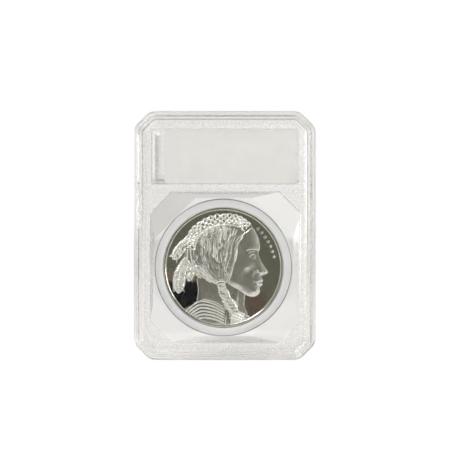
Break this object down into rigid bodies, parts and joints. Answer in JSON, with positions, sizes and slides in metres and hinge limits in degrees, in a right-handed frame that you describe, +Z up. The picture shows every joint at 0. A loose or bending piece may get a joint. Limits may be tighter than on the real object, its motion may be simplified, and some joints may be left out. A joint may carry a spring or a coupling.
{
  "type": "coin slab with round capsule",
  "caption": "Clear two-shell coin slab with chamfered corners and a stepped rim, holding a label card and a round coin in its own capsule.",
  "frame": {"origin": "centre of the bottom edge: the slab stands on it with the label at the top", "axes": "+X across the slab, -Y out of the front face, +Z up towards the label window"},
  "size_m": [0.0604, 0.0094, 0.0826],
  "materials": {
    "slab_plastic": "gloss",
    "capsule_plastic": "gloss",
    "card_stock": "matte",
    "coin_silver": "polished"
  },
  "bodies": {
    "rear_shell": {"rear_shell": "slab_plastic"},
    "label_card": {"label_card": "card_stock"},
    "capsule_base": {"capsule_base": "capsule_plastic"},
    "coin": {"coin": "coin_silver"},
    "capsule_cover": {"capsule_cover": "capsule_plastic"},
    "front_shell": {"front_shell": "slab_plastic"}
  },
  "joints": [
    {"name": "card_slide", "type": "slide", "parent": "rear_shell", "child": "label_card", "axis": [1, 0, 0], "range_m": [-0.0042, 0.0005]},
    {"name": "capsule_lift", "type": "slide", "parent": "rear_shell", "child": "capsule_base", "axis": [0, -1, 0], "range_m": [0, 0.008]},
    {"name": "coin_spin", "type": "hinge", "parent": "capsule_base", "child": "coin", "pos_m": [-0.00045, 0, 0.0307], "axis": [0, -1, 0], "continuous": true},
    {"name": "cover_lift", "type": "slide", "parent": "capsule_base", "child": "capsule_cover", "axis": [0, -1, 0], "range_m": [0, 0.008]},
    {"name": "front_shell_lift", "type": "slide", "parent": "capsule_cover", "child": "front_shell", "axis": [0, -1, 0], "range_m": [0, 0.015]}
  ]
}
